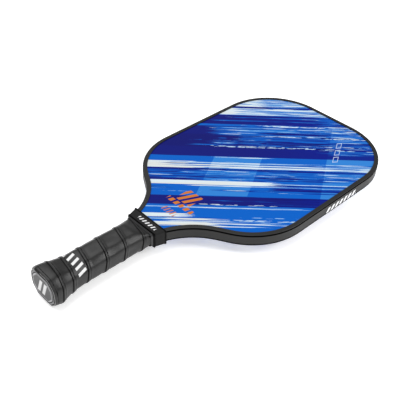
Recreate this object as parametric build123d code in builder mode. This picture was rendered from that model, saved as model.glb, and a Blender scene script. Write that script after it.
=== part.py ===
"""Pickleball paddle: honeycomb panel, edge guard, padded handle, butt cap and throat collar.

Frame: the origin is the centre of the butt end, +X runs along the handle to the tip of the
face, +Y is across the face and +Z points out of the front face.  Millimetres.
"""
import os

from build123d import *

# ---- driving dimensions ------------------------------------------------------------------
LENGTH = 405.0              # butt end to tip
HALF_WIDTH = 99.0           # half of the greatest width, at the tip end
SHOULDER_X = 185.5          # where the straight side would meet the throat line
SHOULDER_HALF_WIDTH = 97.9
THROAT_X = 145.1            # where the throat line would meet the neck line
THROAT_HALF_WIDTH = 29.2
NECK_X = 105.0              # where the neck line meets the handle tongue
TIP_RADIUS = 69.9
SHOULDER_RADIUS = 71.2
THROAT_RADIUS = 72.0
NECK_RADIUS = 40.0

GUARD_THICKNESS = 13.2      # over both lips
GUARD_WALL = 1.2            # around the edge of the panel
GUARD_LIP = 4.8             # how far each lip reaches in over the face
GUARD_EDGE_RADIUS = 1.3
GUARD_GROOVE_Z = 4.7        # lower edge of the shadow groove below each rounded edge
GUARD_GROOVE_WIDTH = 0.5
GUARD_GROOVE_DEPTH = 0.4
GUARD_START_X = 105.5       # its two ends are held under the grip
ADHESIVE = 0.3              # bond line between the guard and the panel
ADHESIVE_HEIGHT = 9.0

PANEL_THICKNESS = 11.6
SKIN = 0.55                 # fibre face sheet
SCRIM = 0.15                # bonding scrim between a face sheet and the core
CELL_PITCH = 10.0           # across the flats of a honeycomb cell, wall included
CELL_WALL = 0.6
CORE_BORDER = 5.0           # solid rim of the core
PANEL_START_X = 4.0

HANDLE_HALF_WIDTH = 14.1    # bare handle, without the grip
HANDLE_HALF_HEIGHT = 11.3
HANDLE_TOP_HALF_WIDTH = 7.9
PALLET_BOND = 0.2           # adhesive film between a pallet and the face sheet
PALLET_RAMP_X = 96.0        # where a pallet starts to slope down to the face
PALLET_END_X = 105.0
PALLET_TIP = 0.8            # thickness left at the end of the slope
CAP_SKIRT_X = 22.0          # how far the butt cap reaches up the handle

GRIP_START_X = 0.5
GRIP_END_X = 109.4
COLLAR_X = 109.0
COLLAR_END_X = 121.5
TAPE_X = 107.0
TAPE_END_X = 114.0
TAPE = 0.25

PANEL_INSET = GUARD_WALL + ADHESIVE
CORE_HALF = PANEL_THICKNESS / 2 - SKIN - SCRIM
TONGUE_HALF_WIDTH = HANDLE_HALF_WIDTH + PANEL_INSET

os.makedirs("parts", exist_ok=True)


# ---- outlines ----------------------------------------------------------------------------
def paddle_outline(inset):
    """Face outline with the tongue, `inset` inside the outer side of the guard."""
    start_x = PANEL_START_X - PANEL_INSET
    with BuildSketch(Plane.XY, mode=Mode.PRIVATE) as outline:
        with BuildLine():
            Polyline(
                (start_x, 0),
                (start_x, TONGUE_HALF_WIDTH),
                (NECK_X, TONGUE_HALF_WIDTH),
                (THROAT_X, THROAT_HALF_WIDTH),
                (SHOULDER_X, SHOULDER_HALF_WIDTH),
                (LENGTH, HALF_WIDTH),
                (LENGTH, 0),
            )
            mirror(about=Plane.XZ)
        make_face()
        for x, radius in (
            (LENGTH, TIP_RADIUS),
            (SHOULDER_X, SHOULDER_RADIUS),
            (THROAT_X, THROAT_RADIUS),
            (NECK_X, NECK_RADIUS),
        ):
            picked = outline.vertices().filter_by(lambda v: abs(v.X - x) < 0.01 and abs(v.Y) > 1)
            fillet(picked, radius=radius)
        if inset != 0:
            offset(amount=-inset, kind=Kind.INTERSECTION)
    return outline.sketch


def slab(sketch, bottom, top):
    """Flat plate with the given outline between two heights."""
    with BuildPart(mode=Mode.PRIVATE) as plate:
        with BuildSketch(Plane.XY.offset(bottom)):
            add(sketch)
        extrude(amount=top - bottom)
    return plate.part


def handle_profile(plane, half_width, half_height, top_half_width, side_half_height):
    """Eight-sided section of the handle, square to its length."""
    with BuildSketch(plane, mode=Mode.PRIVATE) as profile:
        Polygon(
            (half_width, side_half_height),
            (top_half_width, half_height),
            (-top_half_width, half_height),
            (-half_width, side_half_height),
            (-half_width, -side_half_height),
            (-top_half_width, -half_height),
            (top_half_width, -half_height),
            (half_width, -side_half_height),
            align=None,
        )
    return profile.sketch


def lofted(stations):
    """Solid through eight-sided sections, each given as x and the four section sizes."""
    with BuildPart(mode=Mode.PRIVATE) as body:
        for x, half_width, half_height, top_half_width, side_half_height in stations:
            plane = Plane(origin=(x, 0, 0), x_dir=(0, 1, 0), z_dir=(1, 0, 0))
            with BuildSketch(plane):
                add(handle_profile(Plane.XY, half_width, half_height, top_half_width, side_half_height))
        loft(ruled=True)
    return body.part


panel_outline = paddle_outline(PANEL_INSET)
guard_outline = paddle_outline(0)
PANEL_HALF = PANEL_THICKNESS / 2
GUARD_HALF = GUARD_THICKNESS / 2


def write(piece, name):
    """Label one finished piece and write it to its own file."""
    piece.label = name
    export_step(piece, "parts/" + name + ".step")


# ---- panel: honeycomb core, scrims and face sheets -----------------------------------------
with BuildPart() as honeycomb_core:
    with BuildSketch(Plane.XY.offset(-CORE_HALF)) as core_plan:
        add(panel_outline)
        with BuildSketch(mode=Mode.PRIVATE) as cell_field:
            add(panel_outline)
            offset(amount=-CORE_BORDER, kind=Kind.INTERSECTION)
        field = cell_field.sketch.faces()[0]
        cell_radius = (CELL_PITCH - CELL_WALL) / 2
        rows = HexLocations(CELL_PITCH / 2, 50, 24, major_radius=False)
        centres = []
        for spot in rows.local_locations:
            centre = spot.position + Vector(LENGTH / 2 + 2, 0, 0)
            ring = [
                centre + Vector(cell_radius * 1.155, 0, 0).rotate(Axis.Z, 60 * k)
                for k in range(6)
            ]
            if all(field.is_inside(corner) for corner in ring):
                centres.append(centre)
        with Locations(*centres):
            RegularPolygon(cell_radius, 6, major_radius=False, mode=Mode.SUBTRACT)
    extrude(amount=2 * CORE_HALF)
print("honeycomb cells", len(centres))
write(honeycomb_core.part, "honeycomb_core")

with BuildPart() as front_core_scrim:
    add(slab(panel_outline, CORE_HALF, CORE_HALF + SCRIM))
write(front_core_scrim.part, "front_core_scrim")

with BuildPart() as back_core_scrim:
    add(slab(panel_outline, -CORE_HALF - SCRIM, -CORE_HALF))
write(back_core_scrim.part, "back_core_scrim")

with BuildPart() as front_face_sheet:
    add(slab(panel_outline, PANEL_HALF - SKIN, PANEL_HALF))
write(front_face_sheet.part, "front_face_sheet")

with BuildPart() as back_face_sheet:
    add(slab(panel_outline, -PANEL_HALF, -PANEL_HALF + SKIN))
write(back_face_sheet.part, "back_face_sheet")

panel_block = slab(panel_outline, -PANEL_HALF, PANEL_HALF)

# ---- edge guard: U-shaped channel round the head, and the strip that bonds it --------------
with BuildPart() as guard_ring:
    add(slab(guard_outline, -GUARD_HALF, GUARD_HALF))
    split(bisect_by=Plane.YZ.offset(GUARD_START_X), keep=Keep.TOP)
    rims = guard_ring.faces().filter_by(Axis.Z).edges().filter_by(
        lambda edge: edge.center().X > GUARD_START_X + 0.01
    )
    fillet(rims, radius=GUARD_EDGE_RADIUS)

groove_top = GUARD_GROOVE_Z + GUARD_GROOVE_WIDTH
with BuildPart() as guard_grooves:
    add(slab(paddle_outline(-1), GUARD_GROOVE_Z, groove_top))
    inside_groove = slab(paddle_outline(GUARD_GROOVE_DEPTH), GUARD_GROOVE_Z, groove_top)
    add(inside_groove, mode=Mode.SUBTRACT)
    mirror(about=Plane.XY)

with BuildPart() as edge_guard:
    add(guard_ring.part)
    add(slab(paddle_outline(GUARD_LIP), -GUARD_HALF - 1, GUARD_HALF + 1), mode=Mode.SUBTRACT)
    add(slab(paddle_outline(GUARD_WALL), -PANEL_HALF, PANEL_HALF), mode=Mode.SUBTRACT)
    add(guard_grooves.part, mode=Mode.SUBTRACT)
write(edge_guard.part, "edge_guard")

with BuildPart() as edge_guard_adhesive:
    add(slab(paddle_outline(GUARD_WALL), -ADHESIVE_HEIGHT / 2, ADHESIVE_HEIGHT / 2))
    add(panel_block, mode=Mode.SUBTRACT)
    split(bisect_by=Plane.YZ.offset(GUARD_START_X), keep=Keep.TOP)
write(edge_guard_adhesive.part, "edge_guard_adhesive")

# ---- handle pallets, bonded to both sides of the tongue ------------------------------------
STAPLE_CROWN = 10.0
STAPLE_LEG = 6.0
STAPLE_WIRE = 0.6
CAP_STAPLE_X = 15.0
CAP_STAPLE_TOP = 13.9


def staple(x, height):
    """One wire staple across the handle, its crown at `height` and its legs pointing down."""
    with BuildPart(mode=Mode.PRIVATE) as wire:
        with BuildSketch(Plane.YZ.offset(x)):
            with Locations((0, height - STAPLE_WIRE / 2)):
                Rectangle(STAPLE_CROWN, STAPLE_WIRE)
            with GridLocations(STAPLE_CROWN - STAPLE_WIRE, 0, 2, 1):
                with Locations((0, height - STAPLE_LEG / 2)):
                    Rectangle(STAPLE_WIRE, STAPLE_LEG)
        extrude(amount=STAPLE_WIRE / 2, both=True)
    return wire.part


# The cap flares from the bare handle to a rounded end; x, half width, half height, top, side.
cap_outside = lofted([
    (0.0, 16.2, 14.2, 9.6, 6.6),
    (1.6, 17.7, 15.4, 9.9, 7.2),
    (4.0, 18.5, 15.9, 10.2, 7.6),
    (9.0, 18.3, 15.4, 10.0, 7.4),
    (16.0, 16.3, 13.4, 9.0, 6.6),
    (CAP_SKIRT_X, HANDLE_HALF_WIDTH + 0.7, HANDLE_HALF_HEIGHT + 0.7, 8.2, 6.1),
])

with BuildPart() as butt_cap_staples:
    add(staple(CAP_STAPLE_X, CAP_STAPLE_TOP))
    mirror(about=Plane.XY)
write(butt_cap_staples.part, "butt_cap_staples")


def pallet_body():
    """Front pallet: chamfered bar that slopes down to the face at the throat."""
    base = PANEL_HALF + PALLET_BOND
    tip = base + PALLET_TIP
    with BuildPart(mode=Mode.PRIVATE) as bar:
        with BuildSketch(Plane.YZ.offset(PANEL_START_X)):
            Polygon(
                (HANDLE_HALF_WIDTH, base),
                (HANDLE_TOP_HALF_WIDTH, HANDLE_HALF_HEIGHT),
                (-HANDLE_TOP_HALF_WIDTH, HANDLE_HALF_HEIGHT),
                (-HANDLE_HALF_WIDTH, base),
                align=None,
            )
        extrude(amount=PALLET_END_X - PANEL_START_X)
        with BuildSketch(Plane.XZ):
            Polygon(
                (PALLET_RAMP_X, HANDLE_HALF_HEIGHT + 1),
                (PALLET_RAMP_X, HANDLE_HALF_HEIGHT),
                (PALLET_END_X, tip),
                (PALLET_END_X + 1, tip),
                (PALLET_END_X + 1, HANDLE_HALF_HEIGHT + 1),
                align=None,
            )
        extrude(amount=HANDLE_HALF_WIDTH + 1, both=True, mode=Mode.SUBTRACT)
        add(butt_cap_staples.part, mode=Mode.SUBTRACT)
    return bar.part


front_pallet = pallet_body()
with BuildPart() as front_handle_pallet:
    add(front_pallet)
write(front_handle_pallet.part, "front_handle_pallet")

with BuildPart() as back_handle_pallet:
    add(front_pallet.mirror(Plane.XY))
write(back_handle_pallet.part, "back_handle_pallet")

bond_length = PALLET_END_X - PANEL_START_X
with BuildPart() as front_pallet_adhesive:
    with BuildSketch(Plane.XY.offset(PANEL_HALF)):
        with Locations((PANEL_START_X + bond_length / 2, 0)):
            Rectangle(bond_length, 2 * HANDLE_HALF_WIDTH)
    extrude(amount=PALLET_BOND)
write(front_pallet_adhesive.part, "front_pallet_adhesive")

with BuildPart() as back_pallet_adhesive:
    with BuildSketch(Plane.XY.offset(-PANEL_HALF - PALLET_BOND)):
        with Locations((PANEL_START_X + bond_length / 2, 0)):
            Rectangle(bond_length, 2 * HANDLE_HALF_WIDTH)
    extrude(amount=PALLET_BOND)
write(back_pallet_adhesive.part, "back_pallet_adhesive")

handle_parts = [
    panel_block,
    front_handle_pallet.part,
    back_handle_pallet.part,
    front_pallet_adhesive.part,
    back_pallet_adhesive.part,
]

# ---- butt cap, its badge and the staple that starts the grip -------------------------------
BADGE_HALF_WIDTH = 14.2
BADGE_HALF_HEIGHT = 12.6
BADGE_TOP_HALF_WIDTH = 7.9
BADGE_SIDE_HALF_HEIGHT = 5.6
BADGE_CORNER_RADIUS = 7.0
BADGE_THICKNESS = 0.8
MOAT_WIDTH = 0.8
MOAT_DEPTH = 1.4


def badge_plate(margin, thickness):
    """Plate with the badge's rounded outline, `margin` larger all round."""
    with BuildPart(mode=Mode.PRIVATE) as plate:
        with BuildSketch(Plane.YZ) as badge_plan:
            add(
                handle_profile(
                    Plane.XY,
                    BADGE_HALF_WIDTH,
                    BADGE_HALF_HEIGHT,
                    BADGE_TOP_HALF_WIDTH,
                    BADGE_SIDE_HALF_HEIGHT,
                )
            )
            fillet(badge_plan.vertices(), radius=BADGE_CORNER_RADIUS)
            if margin > 0:
                offset(amount=margin)
        extrude(amount=thickness)
    return plate.part


with BuildPart() as butt_cap_badge:
    add(badge_plate(0, BADGE_THICKNESS))
write(butt_cap_badge.part, "butt_cap_badge")

# A narrow moat round the badge leaves a raised lip at the rim of the cap.
with BuildPart() as badge_moat:
    add(badge_plate(MOAT_WIDTH, MOAT_DEPTH))
    add(badge_plate(0, MOAT_DEPTH), mode=Mode.SUBTRACT)

GRIP_STAPLE_X = 9.0
GRIP_STAPLE_Y = -18.6       # outer side of the crown, on the flare of the cap
GRIP_STAPLE_CROWN = 8.0
GRIP_STAPLE_LEG = 4.0

with BuildPart() as grip_start_staple:
    with BuildSketch(Plane.XY):
        with Locations((GRIP_STAPLE_X, GRIP_STAPLE_Y + STAPLE_WIRE / 2)):
            Rectangle(GRIP_STAPLE_CROWN, STAPLE_WIRE)
        with Locations((GRIP_STAPLE_X, GRIP_STAPLE_Y + GRIP_STAPLE_LEG / 2)):
            with GridLocations(GRIP_STAPLE_CROWN - STAPLE_WIRE, 0, 2, 1):
                Rectangle(STAPLE_WIRE, GRIP_STAPLE_LEG)
    extrude(amount=STAPLE_WIRE / 2, both=True)
write(grip_start_staple.part, "grip_start_staple")

with BuildPart() as butt_cap:
    add(cap_outside)
    add(butt_cap_badge.part, mode=Mode.SUBTRACT)
    add(badge_moat.part, mode=Mode.SUBTRACT)
    for piece in handle_parts:
        add(piece, mode=Mode.SUBTRACT)
    add(butt_cap_staples.part, mode=Mode.SUBTRACT)
    add(grip_start_staple.part, mode=Mode.SUBTRACT)
write(butt_cap.part, "butt_cap")

# ---- grip wrap, finishing tape and throat collar -------------------------------------------
# The wrapped grip follows the flare of the cap, the bare handle and the slope at the throat.
grip_outside = lofted([
    (GRIP_START_X, 17.3, 15.3, 9.8, 7.2),
    (2.6, 19.5, 17.0, 10.6, 8.0),
    (5.0, 20.3, 17.6, 11.0, 8.3),
    (10.0, 20.1, 17.1, 10.8, 8.1),
    (17.0, 18.0, 15.1, 9.7, 7.4),
    (26.0, 16.3, 13.4, 8.7, 6.7),
    (34.0, 16.0, 13.2, 8.6, 6.6),
    (PALLET_RAMP_X - 1, 16.0, 13.2, 8.6, 6.6),
    (GRIP_END_X - 3.4, 16.9, 8.2, 14.6, 5.6),
    (GRIP_END_X, 17.9, 7.5, 16.2, 5.6),
])
with BuildPart() as grip_wrap:
    add(grip_outside)
    for piece in handle_parts + [butt_cap.part, guard_ring.part]:
        add(piece, mode=Mode.SUBTRACT)
    add(badge_plate(MOAT_WIDTH, MOAT_DEPTH), mode=Mode.SUBTRACT)
    add(butt_cap_staples.part, mode=Mode.SUBTRACT)
    add(grip_start_staple.part, mode=Mode.SUBTRACT)
write(grip_wrap.part, "grip_wrap")

# The tape holds down the tail of the grip and laps on to the guard, under the collar.
tape_outside = lofted([
    (TAPE_X, 17.2 + TAPE, 8.0 + TAPE, 15.3, 5.8),
    (GRIP_END_X, 17.9 + TAPE, 7.5 + TAPE, 16.4, 5.8),
    (TAPE_END_X, 18.7 + TAPE, GUARD_HALF + TAPE, 17.7, 5.7),
])
with BuildPart() as grip_finishing_tape:
    add(tape_outside)
    add(grip_outside, mode=Mode.SUBTRACT)
    add(guard_ring.part, mode=Mode.SUBTRACT)
write(grip_finishing_tape.part, "grip_finishing_tape")

# The collar is a stretched rubber band with a small bead along each edge.
COLLAR_CORNER_RADIUS = 1.8
collar_stations = [
    (COLLAR_X, 18.9, 8.2),
    (COLLAR_X + 0.4, 19.5, 8.75),
    (COLLAR_X + 1.4, 19.8, 8.75),
    (COLLAR_X + 1.8, 19.5, 8.35),
    (COLLAR_END_X - 1.8, 22.2, 8.35),
    (COLLAR_END_X - 1.4, 22.7, 8.75),
    (COLLAR_END_X - 0.4, 23.0, 8.75),
    (COLLAR_END_X, 22.6, 8.2),
]
with BuildPart() as throat_collar:
    for x, half_width, half_height in collar_stations:
        with BuildSketch(Plane.YZ.offset(x)):
            RectangleRounded(2 * half_width, 2 * half_height, COLLAR_CORNER_RADIUS)
    loft(ruled=True)
    add(guard_ring.part, mode=Mode.SUBTRACT)
    add(tape_outside, mode=Mode.SUBTRACT)
    add(grip_outside, mode=Mode.SUBTRACT)
write(throat_collar.part, "throat_collar")
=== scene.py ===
import math

import bmesh
import bpy
from mathutils import Matrix, Vector, noise


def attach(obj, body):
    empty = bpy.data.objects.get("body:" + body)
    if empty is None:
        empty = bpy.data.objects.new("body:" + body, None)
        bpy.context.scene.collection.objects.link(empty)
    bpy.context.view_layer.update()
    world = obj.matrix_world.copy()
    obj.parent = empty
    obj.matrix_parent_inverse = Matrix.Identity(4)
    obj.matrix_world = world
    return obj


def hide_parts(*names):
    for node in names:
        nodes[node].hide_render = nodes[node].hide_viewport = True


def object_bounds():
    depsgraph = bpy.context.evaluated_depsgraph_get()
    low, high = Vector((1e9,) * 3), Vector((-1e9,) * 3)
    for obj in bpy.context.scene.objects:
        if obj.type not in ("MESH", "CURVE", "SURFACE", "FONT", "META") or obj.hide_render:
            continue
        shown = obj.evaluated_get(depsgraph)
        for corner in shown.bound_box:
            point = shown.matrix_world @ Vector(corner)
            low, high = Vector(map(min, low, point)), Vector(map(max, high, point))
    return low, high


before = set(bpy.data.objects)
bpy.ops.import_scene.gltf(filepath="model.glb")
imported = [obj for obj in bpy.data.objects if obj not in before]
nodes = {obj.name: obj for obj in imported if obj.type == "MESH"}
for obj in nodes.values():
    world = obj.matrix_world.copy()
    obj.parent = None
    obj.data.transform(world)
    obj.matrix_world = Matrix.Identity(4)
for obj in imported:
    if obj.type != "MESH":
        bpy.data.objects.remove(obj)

cad_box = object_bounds()
MM = 0.001

# How a printed colour has to be darkened, in linear values, to come out as wanted in this light.
INK_GAIN = 0.68
GLOSS_LIFT = 0.01
DARKEST_INK = 0.001


# ---- shader maths ------------------------------------------------------------------------
def linear(level):
    """One 0-255 screen level as the linear value that a shader socket takes."""
    part = level / 255
    return part / 12.92 if part <= 0.04045 else ((part + 0.055) / 1.055) ** 2.4


def colour(red, green, blue):
    """A screen colour as a linear RGBA value."""
    return (linear(red), linear(green), linear(blue), 1.0)


def ink(red, green, blue):
    """A printed colour, darker than it looks by what the light and the gloss add to it."""
    parts = colour(red, green, blue)[:3]
    return tuple(max(DARKEST_INK, INK_GAIN * part - GLOSS_LIFT) for part in parts) + (1.0,)


class Term:
    """A number in a shader: arithmetic on it adds Math nodes to its graph."""

    def __init__(self, graph, socket):
        self.graph = graph
        self.socket = socket

    def __add__(self, other):
        return self.graph.math("ADD", self, other)

    def __radd__(self, other):
        return self.graph.math("ADD", other, self)

    def __sub__(self, other):
        return self.graph.math("SUBTRACT", self, other)

    def __rsub__(self, other):
        return self.graph.math("SUBTRACT", other, self)

    def __mul__(self, other):
        return self.graph.math("MULTIPLY", self, other)

    def __truediv__(self, other):
        return self.graph.math("DIVIDE", self, other)

    def abs(self):
        return self.graph.math("ABSOLUTE", self)

    def wrap(self, pitch):
        """Distance into a repeat of the given pitch, always positive."""
        return self.graph.math("WRAP", self, pitch, 0.0)

    def floor(self):
        return self.graph.math("FLOOR", self)

    def cut(self, soft):
        """0 below zero and 1 above it, with an edge `soft` wide."""
        return self.graph.math("MULTIPLY_ADD", self, 1.0 / soft, 0.5, clamp=True)


class Graph:
    """A new material with a Principled shader, and short ways to build what feeds it.

    Its x, y and z are the place on the piece in the shared frame, in millimetres.
    """

    def __init__(self, name, **sockets):
        self.material = bpy.data.materials.new(name)
        self.material.use_nodes = True
        self.tree = self.material.node_tree
        self.tree.nodes.clear()
        self.shader = self.tree.nodes.new("ShaderNodeBsdfPrincipled")
        output = self.tree.nodes.new("ShaderNodeOutputMaterial")
        self.tree.links.new(self.shader.outputs["BSDF"], output.inputs["Surface"])
        for socket, value in sockets.items():
            self.shader.inputs[socket.replace("_", " ")].default_value = value
        place = self.tree.nodes.new("ShaderNodeTexCoord")
        parts = self.tree.nodes.new("ShaderNodeSeparateXYZ")
        self.tree.links.new(place.outputs["Object"], parts.inputs[0])
        self.x, self.y, self.z = [Term(self, parts.outputs[k]) * 1000.0 for k in range(3)]

    def put(self, socket, value):
        if isinstance(value, Term):
            value = value.socket
        if isinstance(value, bpy.types.NodeSocket):
            self.tree.links.new(value, socket)
        else:
            socket.default_value = value

    def math(self, operation, first, second=None, third=None, clamp=False):
        node = self.tree.nodes.new("ShaderNodeMath")
        node.operation = operation
        node.use_clamp = clamp
        for socket, value in zip(node.inputs, (first, second, third)):
            if value is not None:
                self.put(socket, value)
        return Term(self, node.outputs[0])

    def least(self, *terms):
        low = terms[0]
        for term in terms[1:]:
            low = self.math("MINIMUM", low, term)
        return low

    def most(self, *terms):
        high = terms[0]
        for term in terms[1:]:
            high = self.math("MAXIMUM", high, term)
        return high

    def inside(self, term, low, high):
        """Distance to the nearer of two limits, positive between them."""
        return self.least(term - low, high - term)

    def noise(self, x, y, z, detail, roughness=0.5):
        """Noise at a point whose three coordinates are given in cells."""
        join = self.tree.nodes.new("ShaderNodeCombineXYZ")
        for socket, value in zip(join.inputs, (x, y, z)):
            self.put(socket, value)
        node = self.tree.nodes.new("ShaderNodeTexNoise")
        self.tree.links.new(join.outputs[0], node.inputs["Vector"])
        node.inputs["Scale"].default_value = 1.0
        node.inputs["Detail"].default_value = detail
        node.inputs["Roughness"].default_value = roughness
        return Term(self, node.outputs["Fac"])

    def grain(self, cells_per_mm, detail, roughness=0.5):
        """Noise that looks the same in all directions."""
        k = cells_per_mm
        return self.noise(self.x * k, self.y * k, self.z * k, detail, roughness)

    def chance(self, column, row):
        """A random number from 0 to 1 that belongs to one cell."""
        join = self.tree.nodes.new("ShaderNodeCombineXYZ")
        self.put(join.inputs[0], column)
        self.put(join.inputs[1], row)
        node = self.tree.nodes.new("ShaderNodeTexWhiteNoise")
        node.noise_dimensions = "2D"
        self.tree.links.new(join.outputs[0], node.inputs["Vector"])
        return Term(self, node.outputs["Value"])

    def mix(self, base, paint, amount):
        """One colour with another laid over it where `amount` is 1."""
        node = self.tree.nodes.new("ShaderNodeMix")
        node.data_type = "RGBA"
        self.put(node.inputs["Factor"], amount)
        self.put(node.inputs[6], base)
        self.put(node.inputs[7], paint)
        return node.outputs[2]

    def parts(self, socket):
        """The three channels of a colour as numbers."""
        node = self.tree.nodes.new("ShaderNodeSeparateColor")
        self.put(node.inputs[0], socket)
        return [Term(self, node.outputs[k]) for k in range(3)]

    def ramp(self, term, stops, interpolation="LINEAR"):
        """Colour ramp; with a term of None its input is linked later."""
        node = self.tree.nodes.new("ShaderNodeValToRGB")
        node.color_ramp.interpolation = interpolation
        if term is not None:
            self.put(node.inputs[0], term)
        elements = node.color_ramp.elements
        while len(elements) < len(stops):
            elements.new(1.0)
        while len(elements) > len(stops):
            elements.remove(elements[-1])
        for element, (position, value) in zip(elements, stops):
            element.position = position
            element.color = value
        return node.outputs["Color"]

    def normal(self, height, distance_mm, strength):
        """Bump from a height of 0 to 1 that stands for `distance_mm`."""
        node = self.tree.nodes.new("ShaderNodeBump")
        node.inputs["Strength"].default_value = strength
        node.inputs["Distance"].default_value = distance_mm * MM
        self.put(node.inputs["Height"], height)
        self.tree.links.new(node.outputs[0], self.shader.inputs["Normal"])

    def set(self, socket, value):
        self.put(self.shader.inputs[socket], value)


# ---- the printed face ----------------------------------------------------------------------
STRIPE_ANGLE = math.radians(-43.8)      # direction of the brush strokes, from +X towards +Y
FACE_MIDDLE_X = 265.0

# Paint values: navy, indigo, two royal blues, azure, sky, pale and white.
PAINT = [
    (0.00, ink(12, 30, 98)),
    (0.14, ink(26, 44, 142)),
    (0.30, ink(16, 52, 146)),
    (0.46, ink(18, 84, 182)),
    (0.60, ink(22, 104, 204)),
    (0.74, ink(62, 136, 218)),
    (0.85, ink(160, 202, 240)),
    (0.95, ink(224, 238, 245)),
]
VIOLET = ink(40, 44, 122)
CREAM = ink(232, 224, 208)
ORANGE = ink(214, 128, 62)
OUTLINE = ink(206, 222, 248)
INK_STEP = 0.008        # half width of the change from one ink to the next

# One stroke: middle across the stripes, width, start and stop along them (None runs off the
# edge), paint value and streakiness.  Millimetres.
STROKES = [
    (-90.0, 5.5, None, -58.0, 0.97, 0.10),
    (-95.0, 2.0, None, -44.0, 0.90, 0.30),
    (-102.0, 5.5, None, -46.0, 0.97, 0.12),
    (-92.6, 0.9, -104.0, -30.0, 0.45, 0.30),
    (-98.0, 1.5, -96.0, 30.0, 0.80, 0.45),
    (-101.0, 1.7, -52.0, 44.0, 0.92, 0.30),
    (-104.8, 1.2, -84.0, 8.0, 0.86, 0.50),
    (-77.2, 1.6, None, 6.0, 0.84, 0.20),
    (-77.0, 1.5, 8.0, 62.0, 0.84, 0.20),
    (-66.5, 14.5, None, None, 0.10, 0.16),
    (-66.0, 0.9, -40.0, 34.0, 0.42, 0.30),
    (-70.6, 1.0, -20.0, 70.0, 0.30, 0.30),
    (-47.0, 3.6, None, -86.0, 0.30, 0.40),
    (-49.5, 2.6, -30.0, 24.0, 0.36, 0.55),
    (-46.0, 5.0, 14.0, None, 0.22, 0.40),
    (-51.0, 2.0, 20.0, None, 0.40, 0.40),
    (-37.4, 6.6, None, 17.0, 0.98, 0.05),
    (-39.6, 2.6, 18.0, None, 0.34, 0.30),
    (-37.4, 1.3, 17.0, None, 0.82, 0.30),
    (-42.3, 1.2, -60.0, None, 0.82, 0.40),
    (-23.0, 21.0, None, None, 0.52, 0.34),
    (-14.0, 3.2, None, None, 0.22, 0.30),
    (-27.5, 3.0, None, None, 0.34, 0.40),
    (-32.0, 3.6, None, -78.0, 0.20, 0.30),
    (-19.0, 3.0, -70.0, 60.0, 0.61, 0.20),
    (-6.2, 12.0, None, -52.0, 0.97, 0.16),
    (-6.2, 12.0, -60.0, None, 0.64, 0.34),
    (-2.2, 1.5, -80.0, 66.0, 0.84, 0.40),
    (-6.2, 1.8, -80.0, 84.0, 0.92, 0.40),
    (-10.0, 2.6, -80.0, None, 0.95, 0.26),
    (-8.2, 0.8, -96.0, 40.0, 0.50, 0.30),
    (-4.2, 0.8, -90.0, 90.0, 0.46, 0.30),
    (5.0, 10.0, None, None, 0.61, 0.06),
    (8.6, 1.6, -46.0, 12.0, 0.80, 0.40),
    (19.0, 18.0, None, None, 0.12, 0.08),
    (22.0, 9.0, 72.0, None, 0.36, 0.60),
    (41.0, 26.0, None, None, 0.05, 0.06),
    (36.0, 12.0, -46.0, None, 0.28, 0.50),
    (46.0, 9.0, -20.0, None, 0.50, 0.36),
    (32.2, 1.8, -64.0, -40.0, 0.56, 0.20),
    (40.0, 4.0, 24.0, 92.0, 0.12, 0.30),
    (42.5, 3.4, 34.0, 92.0, 0.52, 0.30),
    (62.0, 18.0, None, -20.0, 0.13, 0.06),
    (61.0, 18.0, -34.0, None, 0.52, 0.40),
    (63.0, 4.0, -24.0, 40.0, 0.72, 0.20),
    (67.5, 2.4, -30.0, 20.0, 0.68, 0.30),
    (57.5, 4.0, 12.0, 84.0, 0.14, 0.30),
    (72.0, 6.0, 2.0, None, 0.56, 0.30),
    (85.5, 20.0, None, 76.0, 0.12, 0.10),
    (85.5, 20.0, 76.0, None, 0.48, 0.40),
    (83.4, 2.4, -40.0, 76.0, 0.48, 0.26),
    (90.4, 1.9, -24.0, None, 0.50, 0.26),
    (93.5, 2.4, 46.0, None, 0.38, 0.30),
    (98.6, 3.6, -34.0, None, 0.84, 0.26),
    (106.0, 12.5, None, 4.0, 0.98, 0.12),
    (106.0, 12.5, 0.0, None, 0.80, 0.50),
    (102.6, 1.3, 6.0, 80.0, 0.62, 0.30),
    (107.0, 0.9, 20.0, 80.0, 0.66, 0.30),
    (114.0, 4.2, None, None, 0.26, 0.30),
    (122.0, 12.0, None, 16.0, 0.94, 0.40),
    (122.0, 12.0, 10.0, None, 0.74, 0.50),
    (117.6, 1.0, 16.0, 70.0, 0.55, 0.30),
]

# Broken lines of dabs: middle across, width, start, stop, paint value.
DABS = [
    (-72.4, 1.5, -60.0, 16.0, 0.92),
    (-91.0, 1.3, -6.0, 44.0, 0.88),
    (-95.6, 1.8, -30.0, 40.0, 0.90),
    (-52.5, 1.0, -96.0, -70.0, 0.80),
    (29.6, 2.6, -36.0, 80.0, 0.90),
    (33.6, 1.4, 74.0, 134.0, 0.86),
    (27.0, 1.6, 96.0, 134.0, 0.82),
    (46.0, 1.6, -46.0, -6.0, 0.62),
    (41.6, 1.2, -70.0, -14.0, 0.50),
    (36.4, 1.3, -50.0, 20.0, 0.56),
    (51.4, 2.2, 14.0, 86.0, 0.90),
    (50.4, 1.6, 92.0, 132.0, 0.88),
    (58.6, 1.4, -42.0, -20.0, 0.46),
    (64.6, 1.4, -50.0, -16.0, 0.50),
    (68.6, 1.6, -30.0, -8.0, 0.66),
    (73.4, 2.4, 14.0, 110.0, 0.92),
    (83.2, 1.2, -44.0, -14.0, 0.56),
]

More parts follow.
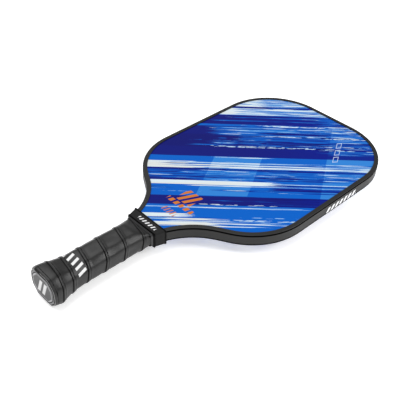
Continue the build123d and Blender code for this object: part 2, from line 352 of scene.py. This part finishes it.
# Places along the stripes where one zone of strokes frays into the next, and the stretches across
# them that have a colour ramp each.
ZONE_EDGES = [-92.0, -66.0, -40.0, -12.0, 18.0, 50.0, 84.0]
FIRST_ZONE_MARGIN = 12.0
LAST_ZONE_MARGIN = 16.0
FRAY_REACH = 90.0
SPANS = [(-126.0, -63.0), (-63.0, 0.0), (0.0, 63.0), (63.0, 126.0)]
MOST_STOPS = 32         # Blender's limit for one colour ramp
BASE_PAINT = (0.60, 0.10)
SIDE_NODE = "side"      # the node that turns the print over for the back face

# Noise in the print: cells per millimetre across and along the stripes, place, detail, roughness.
BROAD = (0.22, 0.008, 3.0, 1.0, 0.5)
STREAK = (0.80, 0.009, 11.0, 2.4, 0.65)
BRISTLE = (2.2, 0.02, 23.0, 1.4, 0.6)
ENDS = (1.1, 0.003, 37.0, 3.0, 0.8)
HAIR = (1.9, 0.022, 91.0, 1.4, 0.6)


def zone_bands(place, low, high):
    """Bands met when crossing the stripes at one place along them: start, paint and grain, dab."""
    def reaches(start, stop):
        return (start is None or start < place) and (stop is None or place < stop)

    strokes = [stroke for stroke in STROKES if reaches(stroke[2], stroke[3])]
    dabs = [dab for dab in DABS if reaches(dab[2], dab[3])]
    edges = {low}
    for band in strokes + dabs:
        for edge in (band[0] - band[1] / 2, band[0] + band[1] / 2):
            if low < edge < high:
                edges.add(edge)
    bands = []
    ordered = sorted(edges)
    for first, last in zip(ordered, ordered[1:] + [high]):
        middle = (first + last) / 2
        paint, grain = BASE_PAINT
        for stroke in strokes:
            if abs(middle - stroke[0]) < stroke[1] / 2:
                paint, grain = stroke[4], stroke[5]
        dab = max([d[4] for d in dabs if abs(middle - d[0]) < d[1] / 2], default=0.0)
        value = (paint, grain, dab, 1.0)
        if not bands or bands[-1][1] != value:
            bands.append((first, value))
    return bands


def zone_ramp(g, place, low, high):
    """Colour ramp that holds paint value, grain and dab across one stretch of a zone."""
    bands = zone_bands(place, low, high)
    if len(bands) > MOST_STOPS:
        raise ValueError("too many bands at %g: %d" % (place, len(bands)))
    stops = [((start - low) / (high - low), value) for start, value in bands]
    return g.ramp(None, stops, "CONSTANT")


def zone_ramps(g):
    """The ramps of every zone, one for each stretch."""
    middles = [ZONE_EDGES[0] - FIRST_ZONE_MARGIN]
    middles += [(low + high) / 2 for low, high in zip(ZONE_EDGES, ZONE_EDGES[1:])]
    middles += [ZONE_EDGES[-1] + LAST_ZONE_MARGIN]
    return [[zone_ramp(g, place, low, high) for low, high in SPANS] for place in middles]


def joined(g, zones, along, across, ends):
    """One colour of paint value, grain and dab from the ramps of all zones; `ends` frays them."""
    ramp_places = [(across - low) / (high - low) for low, high in SPANS]
    span_steps = [(across - low).cut(0.1) for low, high in SPANS]
    bands = None
    for edge, ramps in zip([None] + ZONE_EDGES, zones):
        zone = None
        for ramp, ramp_place, step in zip(ramps, ramp_places, span_steps):
            g.put(ramp.node.inputs[0], ramp_place)
            zone = ramp if zone is None else g.mix(zone, ramp, step)
        if bands is None:
            bands = zone
        else:
            bands = g.mix(bands, zone, (along - edge + ends * FRAY_REACH).cut(2.0))
    return bands


def stepped(stops, soft):
    """The same colour ramp with each colour held flat and a short change to the next."""
    held = [stops[0]]
    for (low, first), (high, second) in zip(stops, stops[1:]):
        middle = (low + high) / 2
        held += [(middle - soft, first), (middle + soft, second)]
    return held


def drawn_noise(g, along, across, kind):
    """Noise drawn out along the stripes, about zero."""
    cells_across, cells_along, place, detail, roughness = kind
    return g.noise(across * cells_across, along * cells_along, place, detail, roughness) - 0.5


def bristled(g, value, along, across, grain, streak, bristle):
    """Streaks inside each stroke, as strong as its grain, and thin light and dark hairs."""
    coarse = (streak + 0.02).cut(0.05) - 0.5
    fine = (bristle + 0.04).cut(0.06) - 0.5
    value = value + (streak * 1.3 + coarse * 0.22 + fine * 0.30) * grain
    hair = drawn_noise(g, along, across, HAIR)
    streaky = (grain - 0.18).cut(0.1)
    value = value + (hair - 0.16).cut(0.03) * streaky * 0.24
    return value - (-0.17 - hair).cut(0.03) * streaky * 0.22


def dashed(g, value, along, across, grain, dab, ends):
    """Rows of dabs, and light and dark flecks where streaky strokes fray."""
    dashes = g.most(
        flecks(g, across, along, 1.05, 11.0, 0.46),
        flecks(g, across + 0.4, along, 1.05, 4.4, 0.22),
    )
    value = value + (dab - value) * ((dab - 0.2).cut(0.1) * dashes)
    frayed = (grain - 0.22).cut(0.1) * (ends + 0.08).cut(0.2)
    value = value + flecks(g, across, along, 1.35, 30.0, 0.16) * frayed * 0.34
    return value - flecks(g, across + 0.6, along, 1.55, 34.0, 0.24) * frayed * 0.30


def faceted(g, value, along, across):
    """Two slanted translucent facets that lighten what lies under them."""
    lean = along - across * 0.30
    near = g.least(g.inside(lean, -44.0, 8.0), g.inside(across, -58.0, 10.0)).cut(0.4)
    far = g.least(along - across * 0.25 - 79.0, 74.0 - across).cut(0.4)
    return value + (near * 0.12 + far * 0.10) * (0.9 - value).cut(0.3)


def inked(g, value, along, broad):
    """The colour of each paint value, violet in some dark parts and cream in some pale ones."""
    print_ink = g.ramp(value, stepped(PAINT, INK_STEP))
    violet = (0.34 - value).cut(0.16) * (30.0 - along + broad * 60.0).cut(90.0)
    print_ink = g.mix(print_ink, VIOLET, violet * 0.8)
    cream = (value - 0.93).cut(0.06) * (broad + 0.02).cut(0.1) * (-20.0 - along).cut(60.0)
    return g.mix(print_ink, CREAM, cream * 0.5)


def printed_face(name):
    """Glossy print of crossing brush strokes, as it runs over the front face."""
    g = Graph(name, Specular_IOR_Level=0.06)
    zones = zone_ramps(g)
    dx = g.x - FACE_MIDDLE_X
    dy = g.y * 1.0
    dy.socket.node.name = SIDE_NODE
    along = dx * math.cos(STRIPE_ANGLE) + dy * math.sin(STRIPE_ANGLE)
    across = dy * math.cos(STRIPE_ANGLE) - dx * math.sin(STRIPE_ANGLE)
    kinds = (BROAD, STREAK, BRISTLE, ENDS)
    broad, streak, bristle, ends = (drawn_noise(g, along, across, kind) for kind in kinds)

    wander = across + streak * 1.4 + bristle * 0.6
    paint, grain, dab = g.parts(joined(g, zones, along, wander, ends))
    value = bristled(g, paint, along, across, grain, streak, bristle)
    value = dashed(g, value, along, across, grain, dab, ends)
    value = faceted(g, value, along, across)

    print_ink = inked(g, value, along, broad)
    print_ink = g.mix(print_ink, ORANGE, orange_bars(g, dy))
    print_ink = g.mix(print_ink, OUTLINE, outlined_lozenges(g, along, across))
    g.set("Base Color", print_ink)
    g.set("Roughness", 0.30 + bristle * 0.10)
    grit = g.noise(g.x * 3.0, g.y * 3.0, 71.0, detail=2.0)
    # The bands stay out of the bump: with them in it, Cycles runs out of stack and bakes the
    # roughness as 1.
    g.normal(grit, 0.015, 0.5)
    return g.material


def flecks(g, across, along, pitch, length, share):
    """Short straight dashes in lanes `pitch` wide; about `share` of the places hold one."""
    lane = (across / pitch).floor()
    place = along / length + g.chance(lane, 3.5) * 9.0
    there = (g.chance(lane, place.floor()) - (1.0 - share)).cut(0.01)
    in_lane = (across / pitch - lane - 0.5).abs()
    in_place = (place - place.floor() - 0.5).abs()
    return there * (0.44 - in_lane).cut(0.16) * (0.5 - in_place - in_lane * 0.5).cut(0.12)


def turned_over(material, name):
    """The same print as seen on the back face, where +Y lies to the other hand."""
    back = material.copy()
    back.name = name
    back.node_tree.nodes[SIDE_NODE].inputs[1].default_value = -1.0
    return back


def bar_row(g, run, rise, span, height, pitch, fill, slant):
    """Slanted bars side by side along `run`; `fill` is the printed share of each pitch."""
    window = g.least(g.inside(run, *span), g.inside(rise, *height)).cut(0.25)
    lean = (rise - height[0]) * slant
    return window * (fill * pitch - (run - span[0] + lean).wrap(pitch)).cut(0.25)


def orange_bars(g, run):
    """Three speed bars and two rows of ticks near the throat."""
    large = g.least(g.inside(g.x, 163.0, 182.0), g.inside(run, -9.0, 11.0)).cut(0.3)
    large = large * (4.0 - (run + 9.0 + (g.x - 163.0) * 0.45).wrap(7.4)).cut(0.3)
    row = bar_row(g, run, g.x, (-18.0, 17.0), (155.5, 161.0), pitch=7.0, fill=0.6, slant=0.3)
    small = bar_row(g, run, g.x, (-9.0, 8.0), (141.0, 148.0), pitch=4.0, fill=0.45, slant=0.3)
    return g.most(large, row, small * 0.8)


# The lozenges: middle of their row along and across the stripes, its tilt and its pitch.
LOZENGE_MIDDLE = (95.0, 24.0)
LOZENGE_TILT = math.radians(73)
LOZENGE_PITCH = 14.0


def outlined_lozenges(g, along, across):
    """Three lozenges in thin white outline, one behind the other near the tip."""
    out = along - LOZENGE_MIDDLE[0]
    aside = across - LOZENGE_MIDDLE[1]
    run = out * math.cos(LOZENGE_TILT) + aside * math.sin(LOZENGE_TILT)
    rise = aside * math.cos(LOZENGE_TILT) - out * math.sin(LOZENGE_TILT)
    cell = (run + 1.5 * LOZENGE_PITCH).wrap(LOZENGE_PITCH) - LOZENGE_PITCH / 2
    shape = g.most((cell + rise * 0.5).abs() / 5.4, rise.abs() / 2.7)
    ring = 0.10 - (shape - 0.88).abs()
    return g.least(ring * 5.0, 1.5 * LOZENGE_PITCH - run.abs()).cut(0.5)


# ---- moulded, rubber, foil and tape finishes -------------------------------------------------
BLACK = colour(3, 3, 3)

# Where marks and lines of painted shade lie on the pieces, in millimetres unless it says otherwise.
GUARD_SHADE_BAND = (4.5, 6.05)            # heights from the middle plane of the band of painted shade, over the CAD's groove
GUARD_LIP = 6.4                     # the lip's flat top starts here
GUARD_MARKED_SIDE = -96.0           # the bars are only beyond this y
COLLAR_MIDDLE = 115.25
COLLAR_BEAD_SHADE = 4.6                   # from the collar's middle to where each bead's painted shade starts
COLLAR_TOP = 8.0                    # the bars are only above this z
BADGE_HALF_SIZE = (14.2, 12.6)
BADGE_BEVEL = (0.74, 0.67, 13.6)    # the slanted side's direction, and how far out it lies
BADGE_BORDER = 0.93                 # where the pale border starts, as a share of the outline
MOAT_SHADE_EDGE = 1.09                    # where the moat's painted shade ends, as a share of the badge's outline
MOAT_SCALE = 13.0                   # about what one such share is in millimetres
HEM_SHADE_OFFSET = 2.6                      # from the edge of the tape to the groove behind its hem, where a line of shade is painted


def guard_plastic():
    """Satin charcoal plastic: painted shade over each groove and on the lip's top, and printed
    bars.

    Here and below, lines of painted shade are metallic with a near-black colour, which takes their
    gloss away.
    """
    g = Graph("guard_plastic", Specular_IOR_Level=0.32)
    cloud = g.grain(0.05, detail=3.0)
    grit = g.grain(2.6, detail=3.0, roughness=0.7)
    base = g.mix(colour(17, 17, 17), colour(26, 26, 25), cloud)
    side = (GUARD_MARKED_SIDE - g.y).cut(0.4)
    bars = bar_row(g, g.x, g.z, (268.0, 318.0), (-4.4, 1.2), pitch=7.0, fill=0.55, slant=-0.6)
    # Painted shade: a black, matt band over the groove under the rounded edge.
    line = g.inside(g.z.abs(), *GUARD_SHADE_BAND).cut(0.3)
    # Painted shade: the lip's flat top is darkened.
    base = g.mix(base, colour(9, 9, 9), (g.z.abs() - GUARD_LIP).cut(0.2) * 0.6)
    base = g.mix(base, BLACK, line)
    g.set("Base Color", g.mix(base, colour(225, 226, 228), bars * side))
    g.set("Metallic", line)
    g.set("Specular Tint", g.mix(colour(255, 255, 255), BLACK, line))
    g.set("Roughness", 0.42 + grit * 0.14)
    g.normal(grit, 0.02, 0.5)
    return g.material


def collar_rubber():
    """Matte stretched rubber, painted black as shade on its two beads, with a row of printed bars.
    """
    g = Graph("collar_rubber", Specular_IOR_Level=0.16)
    grit = g.grain(1.6, detail=3.0, roughness=0.7)
    rib = g.math("SINE", g.x * (2 * math.pi / 1.3)) * 0.5 + 0.5
    base = g.mix(colour(13, 13, 13), colour(24, 24, 24), grit)
    # Painted shade: the beads are black and matt, the metallic taking their gloss away.
    bead = ((g.x - COLLAR_MIDDLE).abs() - COLLAR_BEAD_SHADE).cut(0.4)
    base = g.mix(base, BLACK, bead)
    top = (g.z - COLLAR_TOP).cut(0.3)
    bars = bar_row(g, g.y, g.x, (-14.6, 10.0), (113.1, 116.9), pitch=4.1, fill=0.40, slant=0.5)
    g.set("Base Color", g.mix(base, colour(214, 214, 216), bars * top))
    g.set("Metallic", bead * 0.6)
    g.set("Roughness", 0.5 + grit * 0.16)
    g.normal(grit * 0.7 + rib * 0.3, 0.05, 0.5)
    return g.material


def grip_polyurethane():
    """Satin black polyurethane tape: pebbled, creased across its width, with painted shade in the
    seams.

    The mesh's UV holds the distance from both edges of the tape, in centimetres.
    """
    g = Graph("grip_pu", Specular_IOR_Level=0.36)
    pebble = g.tree.nodes.new("ShaderNodeTexVoronoi")
    pebble.inputs["Scale"].default_value = 1500.0
    place = g.tree.nodes.new("ShaderNodeTexCoord")
    g.tree.links.new(place.outputs["Object"], pebble.inputs["Vector"])
    cells = Term(g, pebble.outputs["Distance"])
    edges = g.tree.nodes.new("ShaderNodeSeparateXYZ")
    g.tree.links.new(place.outputs["UV"], edges.inputs[0])
    from_start = Term(g, edges.outputs[0]) * 10.0
    from_stop = Term(g, edges.outputs[1]) * 10.0
    ragged = g.noise(g.x * 0.2, g.y * 0.5, g.z * 0.5, detail=3.0) - 0.5
    # Painted shade: black, matt lines at the seams and in the groove behind the hem.
    seam_shade = g.most((0.30 - from_start).cut(0.3), (0.45 - from_stop).cut(0.4))
    hem_shade = (0.26 + ragged * 1.2 - (from_start - HEM_SHADE_OFFSET).abs()).cut(0.3)
    dark = g.most(seam_shade, hem_shade * 0.9)
    crease = g.noise(g.x * 0.06, g.y * 0.11, g.z * 0.11, detail=1.2, roughness=0.4)
    cloud = g.noise(g.x * 0.04, g.y * 0.05, g.z * 0.05, detail=2.0)
    base = g.mix(colour(12, 12, 12), colour(22, 22, 22), cloud)
    base = g.mix(base, BLACK, dark)
    cut_end = (0.62 - g.x).cut(0.1)
    base = g.mix(base, colour(150, 150, 150), cut_end)
    down = 13.2 - g.z
    run = down * 0.7 - g.y
    shown = g.least(g.z - 5.0, 10.0 - g.y).cut(0.4)
    bars = bar_row(g, run, g.x, (-10.0, 25.0), (28.0, 37.0), pitch=7.0, fill=0.44, slant=0.35)
    g.set("Base Color", g.mix(base, colour(206, 206, 206), bars * shown))
    g.set("Metallic", dark)
    g.set("Roughness", 0.26 + crease * 0.20)
    g.normal(cells * 0.08 + crease * 0.92, 0.9, 0.6)
    return g.material


def badge_reach(g):
    """Distance from the middle of the badge as a share of the badge's own outline."""
    aside, up = g.y.abs(), g.z.abs()
    bevel = (aside * BADGE_BEVEL[0] + up * BADGE_BEVEL[1]) / BADGE_BEVEL[2]
    return g.most(aside / BADGE_HALF_SIZE[0], up / BADGE_HALF_SIZE[1], bevel)


def cap_plastic():
    """Satin black moulding with a painted highlight on its rim and painted shade in the moat round
    the badge.
    """
    g = Graph("cap_plastic", Specular_IOR_Level=0.3)
    grit = g.grain(3.0, detail=3.0, roughness=0.7)
    base = g.mix(BLACK, colour(20, 20, 20), grit)
    # Painted highlight: a light band on the rim.
    base = g.mix(base, colour(104, 104, 106), (0.12 - g.x).cut(0.1))
    # Painted shade: the moat round the badge is black and matt.
    moat = g.least((MOAT_SHADE_EDGE - badge_reach(g)) * MOAT_SCALE, 2.0 - g.x).cut(0.2)
    g.set("Base Color", g.mix(base, colour(2, 2, 2), moat))
    g.set("Metallic", moat)
    g.set("Roughness", 0.34 + grit * 0.2)
    g.normal(grit, 0.03, 0.5)
    return g.material


def badge_foil():
    """Grey brushed foil with two plain white bars across it."""
    g = Graph("badge_foil", Metallic=0.55)
    brush = g.noise(g.y * 4.0, g.z * 0.2, 5.0, detail=3.0, roughness=0.7)
    base = g.mix(colour(40, 40, 41), colour(58, 58, 59), brush)
    lean = g.y + g.z * 0.4
    bars = g.least(8.0 - g.z.abs(), 2.0 - (lean.abs() - 3.4).abs()).cut(0.25)
    base = g.mix(base, colour(150, 150, 152), (badge_reach(g) - BADGE_BORDER).cut(0.03))
    g.set("Base Color", g.mix(base, colour(196, 196, 196), bars))
    g.set("Roughness", 0.34 + brush * 0.2)
    g.normal(brush, 0.02, 0.4)
    return g.material


def tape_film():
    """Black vinyl tape, slightly stretched and wrinkled."""
    g = Graph("tape_film")
    pull = g.noise(g.x * 0.5, g.y * 0.08, g.z * 0.08, detail=4.0, roughness=0.7)
    g.set("Base Color", g.mix(colour(24, 24, 25), colour(38, 38, 39), pull))
    g.set("Roughness", 0.24 + pull * 0.2)
    g.normal(pull, 0.1, 0.5)
    return g.material


def plain_grained(name, low, high, roughness, cells_per_mm, metallic=0.0):
    """Two-tone grained finish for the pieces that are hidden inside."""
    g = Graph(name, Metallic=metallic)
    grit = g.grain(cells_per_mm, detail=3.0, roughness=0.6)
    g.set("Base Color", g.mix(low, high, grit))
    g.set("Roughness", roughness + grit * 0.2)
    g.normal(grit, 0.05, 0.4)
    return g.material


def cover(material, *names):
    """Gives CAD nodes one material in place of their own."""
    for name in names:
        slots = nodes[name].data.materials
        slots.clear()
        slots.append(material)


front_print = printed_face("printed_skin_front")
cover(front_print, "front_face_sheet")
cover(turned_over(front_print, "printed_skin_back"), "back_face_sheet")
cover(guard_plastic(), "edge_guard")
cover(collar_rubber(), "throat_collar")
cover(cap_plastic(), "butt_cap")
cover(badge_foil(), "butt_cap_badge")
cover(tape_film(), "grip_finishing_tape")
core = plain_grained("core_polymer", colour(214, 216, 214), colour(236, 237, 235), 0.45, 0.8)
cover(core, "honeycomb_core")
scrim = plain_grained("scrim_fleece", colour(226, 225, 220), colour(240, 239, 234), 0.7, 4.0)
cover(scrim, "front_core_scrim", "back_core_scrim")
bond = plain_grained("bond_film", colour(206, 202, 188), colour(224, 220, 206), 0.3, 1.2)
cover(bond, "edge_guard_adhesive", "front_pallet_adhesive", "back_pallet_adhesive")
foam = plain_grained("pallet_foam", colour(96, 97, 100), colour(124, 125, 128), 0.7, 2.2)
cover(foam, "front_handle_pallet", "back_handle_pallet")
wire = plain_grained("staple_wire", colour(168, 168, 170), colour(196, 196, 198), 0.25, 3.0, 1.0)
cover(wire, "butt_cap_staples", "grip_start_staple")


# ---- wound grip --------------------------------------------------------------------------------
# Outer size of the finished winding: x, half width, half height, top half width, side half height.
WRAP_STATIONS = [
    (0.5, 17.2, 15.2, 9.7, 7.1),
    (2.6, 19.1, 16.6, 10.3, 7.7),
    (5.0, 19.8, 17.0, 10.6, 7.9),
    (10.0, 19.6, 16.5, 10.4, 7.8),
    (17.0, 17.6, 14.7, 9.4, 7.2),
    (26.0, 16.0, 13.1, 8.6, 6.6),
    (34.0, 15.7, 12.9, 8.4, 6.4),
    (95.0, 15.7, 12.9, 8.4, 6.4),
    (106.0, 16.7, 8.1, 14.4, 5.5),
    (109.4, 17.7, 7.5, 16.0, 5.5),
]
SEAMS = [0.5, 0.5, 11.5, 24.0, 41.5, 61.5, 82.5, 103.0, 120.0]   # edge of each turn, on top
WRAP_END = 109.2
TAPE_THICKNESS = 1.85
OVERLAP = 3.0               # how far a turn reaches under the next one
EDGE_RISE = 0.62            # height of the hem
THINNEST = 0.6              # the tape starts and ends where it is this wide
FULL_HEM_WIDTH = 7.0        # narrower turns have their hem scaled down
FLAT_STEPS = 8
STEPS_PER_TURN = 128
CORNER_POWER = 16           # how sharply the eight sides meet
SMOOTHING = 1.5             # the section is an average over this distance both ways
DENT_DEPTH = 0.45
DENT_FADE = 6.0
DENT_CELLS = (0.085, 1.15)  # per millimetre along the handle, and from the middle to the side


def between(table, x, column):
    """Value of one column of a table at x, by straight lines."""
    if x <= table[0][0]:
        return table[0][column]
    for low, high in zip(table, table[1:]):
        if x <= high[0]:
            part = (x - low[0]) / (high[0] - low[0])
            return low[column] + (high[column] - low[column]) * part
    return table[-1][column]


def handle_radius(x, angle):
    """Distance from the handle's middle line to the eight-sided surface, corners softened."""
    sizes = []
    for column in range(1, 5):
        places = (x - SMOOTHING, x, x + SMOOTHING)
        sizes.append(sum(between(WRAP_STATIONS, place, column) for place in places) / 3)
    half_width, half_height, top, side = sizes
    across, up = abs(math.cos(angle)), abs(math.sin(angle))
    bevel = math.hypot(half_height - side, half_width - top)
    bevel_y = (half_height - side) / bevel
    bevel_z = (half_width - top) / bevel
    reach = bevel_y * half_width + bevel_z * side
    total = (across / half_width) ** CORNER_POWER + (up / half_height) ** CORNER_POWER
    total += ((bevel_y * across + bevel_z * up) / reach) ** CORNER_POWER
    return total ** (-1.0 / CORNER_POWER)


def dent(x, angle):
    """Soft shallow dents left by winding the tape by hand, fading out at both ends."""
    fade = max(0.0, min(1.0, (x - 2.0) / DENT_FADE, (WRAP_END - x) / DENT_FADE))
    along, around = DENT_CELLS
    place = Vector((x * along, around * math.cos(angle), around * math.sin(angle)))
    return DENT_DEPTH * fade * noise.noise(place)


def seam(turn):
    """Where the butt-side edge of the tape lies after `turn` turns from the start ring."""
    place = turn + 1
    index = max(0, min(len(SEAMS) - 2, int(math.floor(place))))
    part = place - index
    before = SEAMS[max(0, index - 1)]
    low, high = SEAMS[index], SEAMS[index + 1]
    after = SEAMS[min(len(SEAMS) - 1, index + 2)]
    leave = (high - before) / 2
    arrive = (after - low) / 2
    square, cube = part * part, part ** 3
    value = (2 * cube - 3 * square + 1) * low + (cube - 2 * square + part) * leave
    value += (3 * square - 2 * cube) * high + (cube - square) * arrive
    return max(SEAMS[0], value)


def tape_profile(start, stop):
    """Closed section of one turn: distance along the handle and height above the winding.

    From the butt side it goes up a rounded edge, over the hem, through the groove behind it and
    along the flat, slips under the next turn, and comes back along the underside.
    """
    width = stop - start
    k = min(1.0, width / FULL_HEM_WIDTH)
    upper = [
        (start + 0.02, 0.02), (start, 0.32 * k), (start + 0.12 * k, 0.50 * k),
        (start + 0.45 * k, EDGE_RISE * k), (start + 1.2 * k, (EDGE_RISE + 0.02) * k),
        (start + 2.1 * k, 0.56 * k), (start + 2.45 * k, 0.24 * k),
        (start + 2.8 * k, 0.24 * k), (start + 3.2 * k, 0.34 * k), (start + 4.2 * k, 0.0),
    ]
    flat_start = start + 4.2 * k
    flat_stop = stop - 0.4 * k
    for step in range(1, FLAT_STEPS + 1):
        upper.append((flat_start + (flat_stop - flat_start) * step / FLAT_STEPS, 0.0))
    tail = min(OVERLAP, 0.3 + 0.9 * (WRAP_END - stop))
    upper.append((stop, -0.03))
    upper.append((stop + 0.3 * tail, -0.25))
    upper.append((stop + tail, -TAPE_THICKNESS + 0.15))
    lower = [
        (stop + tail, -TAPE_THICKNESS), (stop, -TAPE_THICKNESS),
        ((start + stop) / 2, -TAPE_THICKNESS),
        (start + 3.4 * k, -TAPE_THICKNESS), (start + 1.0 * k, -0.5),
    ]
    return upper + lower


def tape_rings():
    """Rings of points along the strip, and each point's distances from the edges of the tape."""
    rings = []
    edge_distances = []
    for step in range(STEPS_PER_TURN * (len(SEAMS) - 1)):
        turn = step / STEPS_PER_TURN - 1.0
        start = seam(turn)
        stop = min(seam(turn + 1.0), WRAP_END)
        if stop - start < THINNEST:
            continue
        angle = math.pi / 2 - 2 * math.pi * turn
        ring = []
        for x, height in tape_profile(start, stop):
            radius = handle_radius(x, angle) + height + dent(x, angle)
            ring.append((x * MM, radius * math.cos(angle) * MM, radius * math.sin(angle) * MM))
            edge_distances.append((abs(x - start) / 10, abs(stop - x) / 10))
        rings.append(ring)
    return rings, edge_distances


def strip_faces(rows, count):
    """Four-sided faces between neighbouring rings of `count` points."""
    faces = []
    for row in range(rows - 1):
        for k in range(count):
            nxt = (k + 1) % count
            a, b = row * count + k, row * count + nxt
            faces.append((a, b, b + count, a + count))
    return faces


def wound_grip():
    """One strip of tape wound round the handle, each turn lying over the edge of the last."""
    rings, edge_distances = tape_rings()
    points = [point for ring in rings for point in ring]
    count = len(rings[0])
    faces = strip_faces(len(rings), count)
    # Each end is closed with a fan of triangles round the middle of its ring.
    for first in (0, (len(rings) - 1) * count):
        end_ring = points[first:first + count]
        points.append(tuple(sum(values) / count for values in zip(*end_ring)))
        edge_distances.append(edge_distances[first])
        for k in range(count):
            faces.append((first + k, first + (k + 1) % count, len(points) - 1))
    mesh = bpy.data.meshes.new("wound_grip")
    mesh.from_pydata(points, [], faces)
    layer = mesh.uv_layers.new(name="edge_distance")
    for loop in mesh.loops:
        layer.data[loop.index].uv = edge_distances[loop.vertex_index]
    fix_normals(mesh)
    piece = bpy.data.objects.new("wound_grip", mesh)
    bpy.context.scene.collection.objects.link(piece)
    return piece


def fix_normals(mesh):
    """Points every face outwards and shades the surface smooth."""
    work = bmesh.new()
    work.from_mesh(mesh)
    bmesh.ops.recalc_face_normals(work, faces=work.faces)
    for face in work.faces:
        face.smooth = True
    work.to_mesh(mesh)
    work.free()


grip = wound_grip()
grip.data.materials.append(grip_polyurethane())
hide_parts("grip_wrap")
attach(grip, "root")


# ---- floor, light and camera ---------------------------------------------------------------------
# Metres and watts, except for the lens, which is in millimetres.
FLOOR_GAP = 0.0003
FLOOR_HALF = 30.0
FLOOR_GLOW = 0.38
WORLD_STRENGTH = 0.5


def studio_floor():
    """Pale floor just under the lowest point of the handle, faintly lit like a light table."""
    low = cad_box[0][2] - FLOOR_GAP
    half = FLOOR_HALF
    mesh = bpy.data.meshes.new("studio_floor")
    corners = [(-half, -half, low), (half, -half, low), (half, half, low), (-half, half, low)]
    mesh.from_pydata(corners, [], [(0, 1, 2, 3)])
    floor = bpy.data.objects.new("studio_floor", mesh)
    bpy.context.scene.collection.objects.link(floor)
    g = Graph("floor_paper", Roughness=0.9, Specular_IOR_Level=0.1)
    tone = g.noise(g.x * 0.002, g.y * 0.002, 0.0, detail=2.0)
    g.set("Base Color", g.mix(colour(244, 244, 244), colour(248, 248, 248), tone))
    g.set("Emission Color", (1.0, 1.0, 1.0, 1.0))
    g.set("Emission Strength", FLOOR_GLOW)
    mesh.materials.append(g.material)


def area_light(name, place, target, size, power):
    """Soft rectangular light aimed at a point."""
    data = bpy.data.lights.new(name, "AREA")
    data.shape = "RECTANGLE"
    data.size, data.size_y = size
    data.energy = power
    light = bpy.data.objects.new(name, data)
    light.location = place
    light.rotation_euler = (Vector(target) - Vector(place)).to_track_quat("-Z", "Y").to_euler()
    bpy.context.scene.collection.objects.link(light)


def studio_light():
    """White surroundings, a large soft light overhead, a weak one in front and one aside."""
    world = bpy.data.worlds.new("studio")
    world.use_nodes = True
    background = world.node_tree.nodes["Background"]
    background.inputs["Color"].default_value = (1.0, 1.0, 1.0, 1.0)
    background.inputs["Strength"].default_value = WORLD_STRENGTH
    bpy.context.scene.world = world
    middle = (0.2, 0.0, 0.0)
    area_light("top_light", (0.1, 0.5, 1.4), middle, (1.6, 1.6), 21)
    area_light("front_light", (-0.6, -1.2, 0.7), middle, (1.2, 0.9), 6)
    area_light("side_light", (0.85, -0.9, 0.8), middle, (0.5, 0.4), 8)


# Camera fitted to the photograph, looking at its target from these angles and turned by the roll.
CAMERA_AZIMUTH = math.radians(-45.37)
CAMERA_ELEVATION = math.radians(39.22)
CAMERA_ROLL = math.radians(2.67)
CAMERA_DISTANCE = 0.6516
CAMERA_TARGET = Vector((0.1835, -0.0032, 0.0))
CAMERA_LENS = 58.14


def studio_camera():
    """Camera at the photograph's angle."""
    data = bpy.data.cameras.new("camera")
    data.lens = CAMERA_LENS
    data.sensor_width = 36.0
    data.clip_start = 0.01
    flat = math.cos(CAMERA_ELEVATION)
    back = Vector((
        math.sin(CAMERA_AZIMUTH) * flat,
        -math.cos(CAMERA_AZIMUTH) * flat,
        math.sin(CAMERA_ELEVATION),
    ))
    right = Vector((0, 0, 1)).cross(back).normalized()
    up = back.cross(right)
    right_rolled = right * math.cos(CAMERA_ROLL) + up * math.sin(CAMERA_ROLL)
    up_rolled = up * math.cos(CAMERA_ROLL) - right * math.sin(CAMERA_ROLL)
    turn = Matrix((right_rolled, up_rolled, back)).transposed().to_4x4()
    camera = bpy.data.objects.new("camera", data)
    camera.matrix_world = Matrix.Translation(CAMERA_TARGET + back * CAMERA_DISTANCE) @ turn
    bpy.context.scene.collection.objects.link(camera)
    bpy.context.scene.camera = camera


studio_floor()
studio_light()
studio_camera()
bpy.context.scene.view_settings.view_transform = "Standard"
